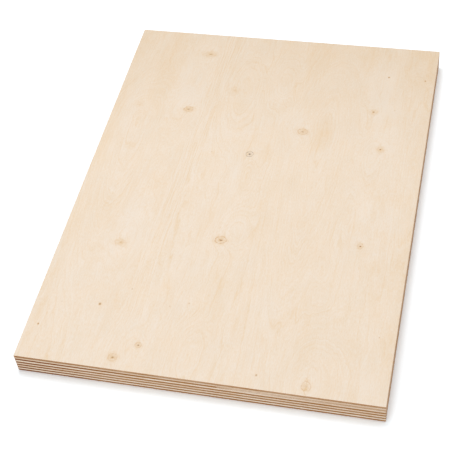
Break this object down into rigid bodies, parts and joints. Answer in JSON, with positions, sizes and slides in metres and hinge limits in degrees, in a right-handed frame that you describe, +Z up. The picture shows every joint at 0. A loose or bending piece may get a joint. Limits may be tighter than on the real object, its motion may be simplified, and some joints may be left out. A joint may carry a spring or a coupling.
{
  "type": "plywood sheet",
  "caption": "Rectangular birch plywood sheet with a knotty pale face and a banded edge of crosswise veneers, lying flat.",
  "frame": {"origin": "middle of the underside, on the surface that the sheet lies on", "axes": "+Z up through the thickness, from back to face; +Y along the length, the way the face grain runs; +X across the width"},
  "size_m": [0.22, 0.3, 0.015],
  "materials": {
    "face_birch": "matte",
    "crossband_birch": "matte",
    "core_birch_dark": "matte",
    "core_birch_pale": "matte",
    "back_birch": "matte"
  },
  "bodies": {
    "root": {"face_veneer": "face_birch", "crossband_2": "crossband_birch", "core_3_left_strip": "core_birch_dark", "core_3_right_strip": "core_birch_pale", "crossband_4": "crossband_birch", "core_5": "core_birch_dark", "crossband_6_middle": "crossband_birch", "core_7": "core_birch_dark", "crossband_8": "crossband_birch", "core_9": "core_birch_dark", "crossband_10": "crossband_birch", "back_veneer": "back_birch"}
  },
  "joints": []
}
